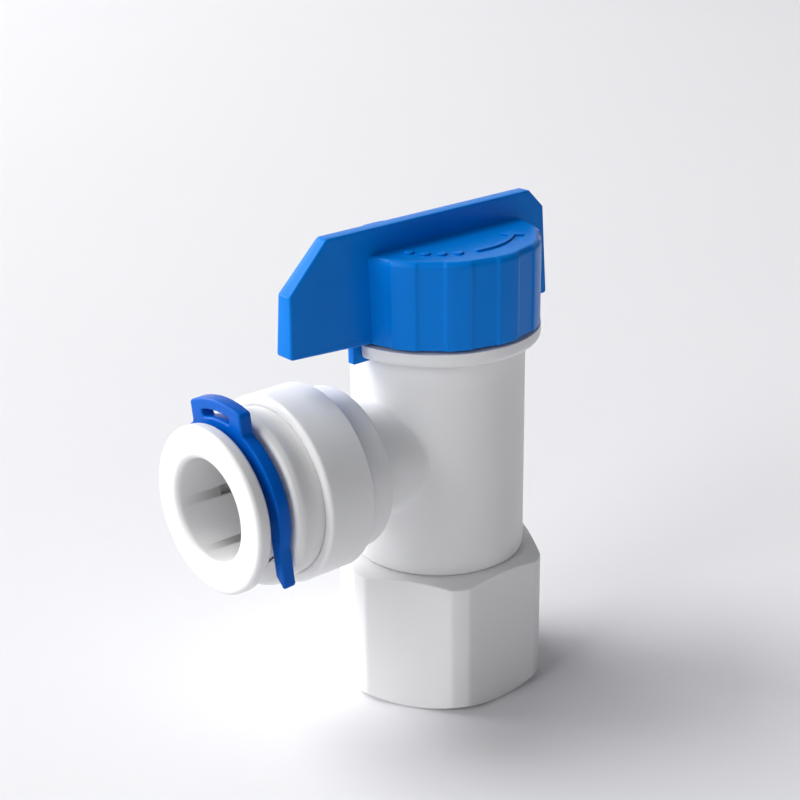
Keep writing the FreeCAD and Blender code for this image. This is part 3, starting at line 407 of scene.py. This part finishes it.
# Each column keeps its share of a finger or of a slot, so the slots stay as wide inside as outside.
slot_reach = np.arcsin(slot_half / collet_path[:, :1])
finger_share = np.linspace(-1, 1, finger_columns)[None]
slot_share = np.linspace(-1, 1, slot_columns)[None, 1:-1]
one_finger = np.concatenate([finger_share * (finger_pitch / 2 - slot_reach),
                             finger_pitch / 2 + slot_share * slot_reach], axis=1)
collet_angles = np.concatenate([one_finger + finger_pitch * turn for turn in range(finger_count)], axis=1)
collet_angles = collet_angles + math.pi / 2 + finger_pitch / 2 + finger_turn
collet_points = along_branch(turned_points(collet_path[:, 0], collet_path[:, 1], collet_angles))

# The ring's quads, without those where a slot runs through the fingers.
rows, columns = collet_angles.shape
row_index, column_index = np.arange(rows)[:, None], np.arange(columns)[None]
next_row, next_column = (row_index + 1) % rows, (column_index + 1) % columns
corner_index = np.stack(np.broadcast_arrays(
    row_index * columns + column_index, row_index * columns + next_column,
    next_row * columns + next_column, next_row * columns + column_index), axis=-1)
finger_step = finger_columns + slot_columns - 2
next_level = np.roll(collet_path[:, 1], -1)
in_fingers = (np.minimum(collet_path[:, 1], next_level) < slot_end - 1e-6)[:, None]
in_slot = column_index % finger_step >= finger_columns - 1
collet_quads = corner_index[~(in_fingers & in_slot)].reshape(-1, 4)

# Each slot has two side walls, cut from the fingers' section, and a floor where it ends.
end_rows = np.flatnonzero(np.abs(collet_path[:, 1] - slot_end) < 1e-6)
outer_end, inner_end = int(end_rows[0]), int(end_rows[-1])
finger_rows = np.concatenate([np.arange(inner_end, rows), np.arange(0, outer_end + 1)])
slot_faces = []
for finger in range(finger_count):
    first = finger * finger_step
    last = first + finger_columns - 1
    slot_faces.append((finger_rows * columns + last)[::-1].tolist())
    slot_faces.append((finger_rows * columns + first).tolist())
    edge = np.arange(last, last + slot_columns) % columns
    quads = np.stack([outer_end * columns + edge[:-1], outer_end * columns + edge[1:],
                      inner_end * columns + edge[1:], inner_end * columns + edge[:-1]], axis=1)
    slot_faces += quads[:, ::-1].tolist()
collet = add_object("collet_ring", collet_points.reshape(-1, 3) * MM, collet_quads.tolist() + slot_faces)
collet_white = white_plastic("collet_white", (0.78, 0.78, 0.785), 0.4)
collet.data.materials.append(collet_white)
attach(collet, "release_collet")
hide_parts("collet")

tooth_steel, tree, shader = new_material("tooth_steel", metallic=1.0, roughness=0.3)
tree.links.new(add_ramp(tree, add_noise(tree, 900.0), [(0.3, (0.52, 0.53, 0.55)), (0.7, (0.62, 0.63, 0.65))]),
               shader.inputs["Base Color"])
tree.links.new(add_range(tree, add_noise(tree, 4000.0), 0.22, 0.4), shader.inputs["Roughness"])
finish_node("grip_teeth", tooth_steel)

# ---------------------------------------------------------------- locking clip
# A flat C of blue acetal that hangs loosely on the collet behind its flange, with a pull loop on top.
# It is moulded in one piece, all its edges slightly rounded, and leans a little in its gap.


def blue_plastic(name, deep, light, roughness):
    """Glossy blue acetal: pigment with faint flow marks, a light skin of gloss and very fine texture."""
    material, tree, shader = new_material(name, roughness=roughness, ior=1.5)
    shader.inputs["Specular IOR Level"].default_value = 0.1
    shader.inputs["Subsurface Weight"].default_value = 0.12
    shader.inputs["Subsurface Radius"].default_value = (0.1, 0.45, 1.0)
    shader.inputs["Subsurface Scale"].default_value = 0.6 * MM
    shades = [(0.25, deep), (0.75, light)]
    tree.links.new(add_ramp(tree, add_noise(tree, 140.0), shades), shader.inputs["Base Color"])
    skin = add_noise(tree, 2200.0, detail=3.0)
    tree.links.new(add_range(tree, skin, roughness - 0.03, roughness + 0.05), shader.inputs["Roughness"])
    add_bump(tree, shader, skin, 0.001 * MM, 0.1)
    return material


def inset_path(path, distance):
    """Moves a closed path's points inwards, each along the line halfway between its two sides' own normals.
    The step is the distance over the cosine of the angle to a side's normal, so the sides move in evenly."""
    ahead = np.roll(path, -1, axis=0) - path
    ahead = ahead / np.maximum(np.hypot(ahead[:, 0], ahead[:, 1])[:, None], 1e-9)
    behind = np.roll(ahead, 1, axis=0)
    inward = np.stack([-(ahead + behind)[:, 1], (ahead + behind)[:, 0]], axis=1)
    inward = inward / np.maximum(np.hypot(inward[:, 0], inward[:, 1])[:, None], 1e-9)
    spread = np.clip((inward * np.stack([-ahead[:, 1], ahead[:, 0]], axis=1)).sum(axis=1), 0.5, 1)
    return path + inward * (distance / spread)[:, None]


def plate(outline, low, high, rim, hole=None, steps=4):
    """A flat plate: a closed anticlockwise outline between two levels, with a quarter circle at each edge.
    At a share t of a quarter turn the edge is moved in by rim (1 - cos t) and up by rim (sin t - 1)."""
    turn = np.linspace(0, math.pi / 2, steps + 1)
    inset = np.concatenate([[rim * 1.4], rim * (1 - np.sin(turn)), rim * (1 - np.cos(turn)), [rim * 1.4]])
    level = np.concatenate([[low], low + rim * (1 - np.cos(turn)), high - rim * (1 - np.sin(turn)), [high]])
    points, faces, caps = [], [], []
    for ring in [outline] + ([hole] if hole is not None else []):
        start = sum(len(part) for part in points)
        rows = np.stack([np.column_stack([inset_path(ring, move), np.full(len(ring), height)])
                         for move, height in zip(inset, level)])
        points.append(rows.reshape(-1, 3))
        faces.append(grid_mesh(rows, close_v=True)[1] + start)
        caps.append((start, len(ring), len(rows)))
    every = np.concatenate(points)
    faces = [face for part in faces for face in part.tolist()]
    for is_top in (False, True):
        firsts = [start + (count * (rows - 1) if is_top else 0) for start, count, rows in caps]
        loops = [list(range(first, first + count)) for first, (_, count, _) in zip(firsts, caps)]
        flat = [index for loop in loops for index in loop]
        if len(loops) == 1:
            faces.append(flat if is_top else flat[::-1])
        else:
            shapes = [[Vector(every[index]) for index in loop] for loop in loops]
            for triangle in tessellate_polygon(shapes):
                corners = [flat[index] for index in triangle]
                a, b, c = every[corners]
                upward = np.cross(b - a, c - a)[2] > 0
                faces.append(corners if upward == is_top else corners[::-1])
    return every, faces


def arc_points(radius, start, end, steps):
    """Points on a circle about the middle, from one angle to another, in degrees."""
    angles = np.radians(np.linspace(start, end, steps))
    return np.stack([radius * np.cos(angles), radius * np.sin(angles)], axis=1)


def with_radius(points, radius=0.0):
    """Path points as corners of one rounding radius."""
    return [(a, b, radius) for a, b in points]


def arc_point(radius, angle):
    """One point on a circle about the middle, its angle in degrees."""
    return radius * math.cos(math.radians(angle)), radius * math.sin(math.radians(angle))


clip_thickness = 1.3
clip_band_radius, clip_slot_radius, clip_tab_radius, window_top = 7.85, 6.1, 10.05, 8.95
clip_crown = 0.4
clip_middle, clip_lean, clip_roll = 24.75, 2.5, 5.0
foot_outside, foot_point, foot_level, arm_level = 7.25, 7.08, -6.5, -3.1
slot_mouth, slot_straight = -5.4, -2.4
window_foot = clip_band_radius + clip_crown
tab_half_width, window_half = 3.85, 14.0
tab_foot = clip_crown + math.sqrt(clip_band_radius ** 2 - tab_half_width ** 2)
tab_shoulder = math.sqrt(clip_tab_radius ** 2 - tab_half_width ** 2)
tab_half = math.degrees(math.asin(tab_half_width / clip_tab_radius))
band_half = math.degrees(math.asin(tab_half_width / clip_band_radius))
arm_angle = math.degrees(math.asin(3.2 / clip_band_radius))
crown = np.array([0, clip_crown])
clip_outline = rounded_path(
    [(clip_slot_radius, slot_straight, 0), (clip_slot_radius, slot_mouth, 0.3),
     (foot_point, foot_level, 0.12), (foot_outside, foot_level + 0.3, 0.2), (foot_outside, arm_level, 0.5)]
    + with_radius(arc_points(clip_band_radius, 1 - arm_angle, 85 - band_half, 30) + crown)
    + [(tab_half_width, tab_foot, 0.6), (tab_half_width, tab_shoulder, 0.4)]
    + with_radius(arc_points(clip_tab_radius, 94 - tab_half, 86 + tab_half, 24))
    + [(-tab_half_width, tab_shoulder, 0.4), (-tab_half_width, tab_foot, 0.6)]
    + with_radius(arc_points(clip_band_radius, 95 + band_half, 179 + arm_angle, 30) + crown)
    + [(-foot_outside, arm_level, 0.5), (-foot_outside, foot_level + 0.3, 0.2),
       (-foot_point, foot_level, 0.12), (-clip_slot_radius, slot_mouth, 0.3),
       (-clip_slot_radius, slot_straight, 0)]
    + with_radius(arc_points(clip_slot_radius, 180, 0, 70)), guard=0.02)
window = rounded_path(
    [(*arc_point(window_top, 90 - window_half), 0.3)]
    + with_radius(arc_points(window_top, 94 - window_half, 86 + window_half, 12))
    + [(*arc_point(window_top, 90 + window_half), 0.3), (*arc_point(window_foot, 90 + window_half), 0.3)]
    + with_radius(arc_points(window_foot, 86 + window_half, 94 - window_half, 12))
    + [(*arc_point(window_foot, 90 - window_half), 0.3)], guard=0.02)[::-1]
clip_points, clip_faces = plate(clip_outline, -clip_thickness / 2, clip_thickness / 2, 0.2, hole=window)
clip_place = (Matrix.Translation((0, -clip_middle, branch_height))
              @ Matrix.Rotation(math.radians(90 + clip_lean), 4, "X")
              @ Matrix.Rotation(math.radians(clip_roll), 4, "Z"))
clip_points = clip_points @ np.array(clip_place.to_3x3()).T + np.array(clip_place.translation)
clip = add_object("clip_loop", clip_points * MM, clip_faces)
clip_blue = blue_plastic("clip_blue", (0.0, 0.1, 0.5), (0.0, 0.12, 0.56), 0.24)
clip.data.materials.append(clip_blue)
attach(clip, "clip")
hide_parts("locking_clip")

# ---------------------------------------------------------------- handle
# One glossy blue moulding: a round cap with twelve shallow grip facets, a tapered wing across it, and a
# stop lug below. The cap's top has a raised arrow for the closing turn and a row of dots; a square socket
# takes the stem.

cap_foot = 37.9
cap_radius, cap_height = 9.97, 8.4
cap_turn = full_turn(480)
socket_half, socket_top = 2.3, 6.3
hub_radius, skirt_inside, hollow_top = 4.5, 8.52, 5.7
top_start_radius, top_ring_count = 9.1, 34
cap_path = rounded_path([
    (0.3, cap_height, 0), (0.3, socket_top, 0), (socket_half, socket_top, 0.05), (socket_half, 0.0, 0.1),
    (hub_radius, 0.0, 0.1), (hub_radius, hollow_top, 0.1), (skirt_inside, hollow_top, 0.1),
    (skirt_inside, 0.0, 0.08), (cap_radius, 0.0, 0.15), (cap_radius, cap_height, 0.62)], steps=8, guard=0.08)
top_rings = np.linspace(top_start_radius, 0.5, top_ring_count)
top_path = np.column_stack([top_rings, np.full(top_ring_count, cap_height)])
cap_path = np.concatenate([cap_path[1:], top_path, cap_path[:1]])

# A grip facet is a flat between two ribs: its distance is constant, so its radius is that distance over a
# cosine.
rib_angle = math.radians(30)
facet_depth, rib_blend, wall_blend = 0.13, math.radians(0.6), 0.75
from_facet = (cap_turn % rib_angle) - 0.5 * rib_angle
flat_radius = (cap_radius - facet_depth) * math.cos(rib_angle / 4) / np.cos(from_facet)
in_facet = np.clip((rib_angle / 4 - np.abs(from_facet)) / rib_blend + 0.5, 0, 1)
facet_drop = (cap_radius - flat_radius) * in_facet
on_wall = np.clip((cap_path[:, :1] - top_start_radius) / wall_blend, 0, 1)
square_out = np.maximum(np.abs(np.cos(cap_turn)), np.abs(np.sin(cap_turn)))
in_socket = (cap_path[:, :1] > 1) & (cap_path[:, :1] < 3) & (cap_path[:, 1:] < 7)
cap_rows = np.where(in_socket, cap_path[:, :1] / square_out, cap_path[:, :1] - facet_drop * on_wall)

# Beyond the wing's middle the cap's top is lower: the top's levels there come down, over a step under the
# wing.
far_drop = 0.9
wing_middle = 0.6
step_width, top_foot, top_blend = 0.1, 7.0, 0.7
beyond = np.clip((wing_middle - cap_rows * np.cos(cap_turn)) / step_width + 0.5, 0, 1)
on_top = np.clip((cap_path[:, 1:] - top_foot) / top_blend, 0, 1)
cap_levels = cap_path[:, 1:] - far_drop * beyond * on_top
cap_points = turned_points(cap_rows, cap_levels + cap_foot, cap_turn)
cap_rings, cap_columns = cap_points.shape[:2]
cap_vertices, cap_quads = grid_mesh(cap_points, close_v=True)
cap_faces = cap_quads.tolist() + [list(range(cap_columns))[::-1],
                                  list(range((cap_rings - 1) * cap_columns, cap_rings * cap_columns))]

# The wing is a plate on edge. Its two faces lean together towards the top by the moulding draft.
wing_height, wing_foot = 10.85, 0.05
draft = math.tan(math.radians(2.2))
wing_half = 1.15
near_end, near_foot, near_shoulder, near_cut = -18.95, 0.6, 6.45, 4.25
far_end, far_shoulder, far_cut = 13.1, 8.95, 1.8
wing_outline = rounded_path([
    (near_end, near_foot, 0.3), (-cap_radius, wing_foot, 1.0), (far_end, wing_foot, 0.3),
    (far_end - far_shoulder * draft, far_shoulder, 0.35),
    (far_end - wing_height * draft - far_cut, wing_height, 0.35),
    (near_end + wing_height * draft + near_cut, wing_height, 0.7),
    (near_end + near_shoulder * draft, near_shoulder, 0.5)], guard=0.05)
wing_points, wing_faces = plate(wing_outline, -wing_half, wing_half, 0.24, steps=6)
lean = 1 - wing_points[:, 1] * draft / wing_half
wing_points = np.stack([wing_middle + wing_points[:, 2] * lean, wing_points[:, 0],
                        cap_foot + wing_points[:, 1]], axis=1)

# The stop lug hangs below the cap's edge, in the gap of the body's flange.
lug_half, lug_outer, lug_inner, lug_foot, lug_top = 0.448, -10.8, -8.65, 35.8, 38.4
lug_outline = rounded_path(with_radius([(-lug_half, lug_outer), (lug_half, lug_outer), (lug_half, lug_inner),
                                        (-lug_half, lug_inner)], 0.12), guard=0.02)
lug_shape = plate(lug_outline, lug_foot, lug_top, 0.1)

# The raised marks stand 0.2 mm proud on the cap's top: an arrow bent round the turn, and a row of dots.
mark_radius, arrow_half, head_half = 7.1, 0.275, 1.25
mark_foot, mark_top = cap_foot + cap_height - 0.05, cap_foot + cap_height + 0.2
arrow_tail, arrow_neck, arrow_tip = -12, 40, 56
dot_count, dot_radius, first_dot, dot_step = 4, 0.475, -63, 12.5
arrow_outline = rounded_path(
    [(*arc_point(mark_radius + arrow_half, arrow_tail), 0.2)]
    + with_radius(arc_points(mark_radius + arrow_half, arrow_tail + 3, arrow_neck - 1, 24))
    + [(*arc_point(mark_radius + head_half, arrow_neck), 0.15), (*arc_point(mark_radius, arrow_tip), 0.15),
       (*arc_point(mark_radius - head_half, arrow_neck), 0.15)]
    + with_radius(arc_points(mark_radius - arrow_half, arrow_neck - 1, arrow_tail + 3, 24))
    + [(*arc_point(mark_radius - arrow_half, arrow_tail), 0.2)], guard=0.01)
mark_shapes = [plate(arrow_outline, mark_foot, mark_top, 0.09, steps=3)]
for step in range(dot_count):
    dot_middle = np.array(arc_point(mark_radius, first_dot + dot_step * step))
    dot_outline = arc_points(dot_radius, 0, 337.5, 16) + dot_middle
    mark_shapes.append(plate(dot_outline, mark_foot, mark_top, 0.12, steps=3))


def joined(shapes):
    """One list of vertices and one of faces from several closed shapes."""
    every, faces, start = [], [], 0
    for points, shape_faces in shapes:
        every.append(points)
        faces += [[index + start for index in face] for face in shape_faces]
        start += len(points)
    return np.concatenate(every), faces


handle_points, handle_faces = joined(
    [(cap_vertices, cap_faces), (wing_points, wing_faces), lug_shape] + mark_shapes)
handle = add_object("quarter_turn_handle", handle_points * MM, handle_faces)
handle_blue = blue_plastic("handle_blue", (0.0, 0.19, 0.68), (0.0, 0.21, 0.74), 0.24)
handle.data.materials.append(handle_blue)
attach(handle, "turning_handle")
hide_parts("handle")

# ---------------------------------------------------------------- ball, stem, seats and seals
# The moving core inside: an acetal ball and stem, PTFE seats, and black rubber O-rings in their grooves.
# They hide inside the body, so their CAD meshes stay and take their own finishes.

stem_white = white_plastic("stem_white", (0.82, 0.82, 0.81), 0.35)
seat_white = white_plastic("seat_white", (0.9, 0.9, 0.9), 0.3)
rubber, tree, shader = new_material("seal_rubber", roughness=0.5)
rubber_shades = [(0.3, (0.012, 0.012, 0.012)), (0.7, (0.022, 0.022, 0.022))]
tree.links.new(add_ramp(tree, add_noise(tree, 700.0), rubber_shades), shader.inputs["Base Color"])
tree.links.new(add_range(tree, add_noise(tree, 3000.0), 0.42, 0.62), shader.inputs["Roughness"])
for name, material in (
        ("ball", stem_white), ("stem", stem_white), ("thrust_washer", seat_white),
        ("spacer_ring", stem_white), ("bottom_seat", seat_white), ("outlet_seat", seat_white),
        ("adapter_oring", rubber),
        ("bottom_seat_oring", rubber), ("outlet_seat_oring", rubber), ("stem_oring_lower", rubber),
        ("stem_oring_upper", rubber), ("tube_oring", rubber)):
    finish_node(name, material)
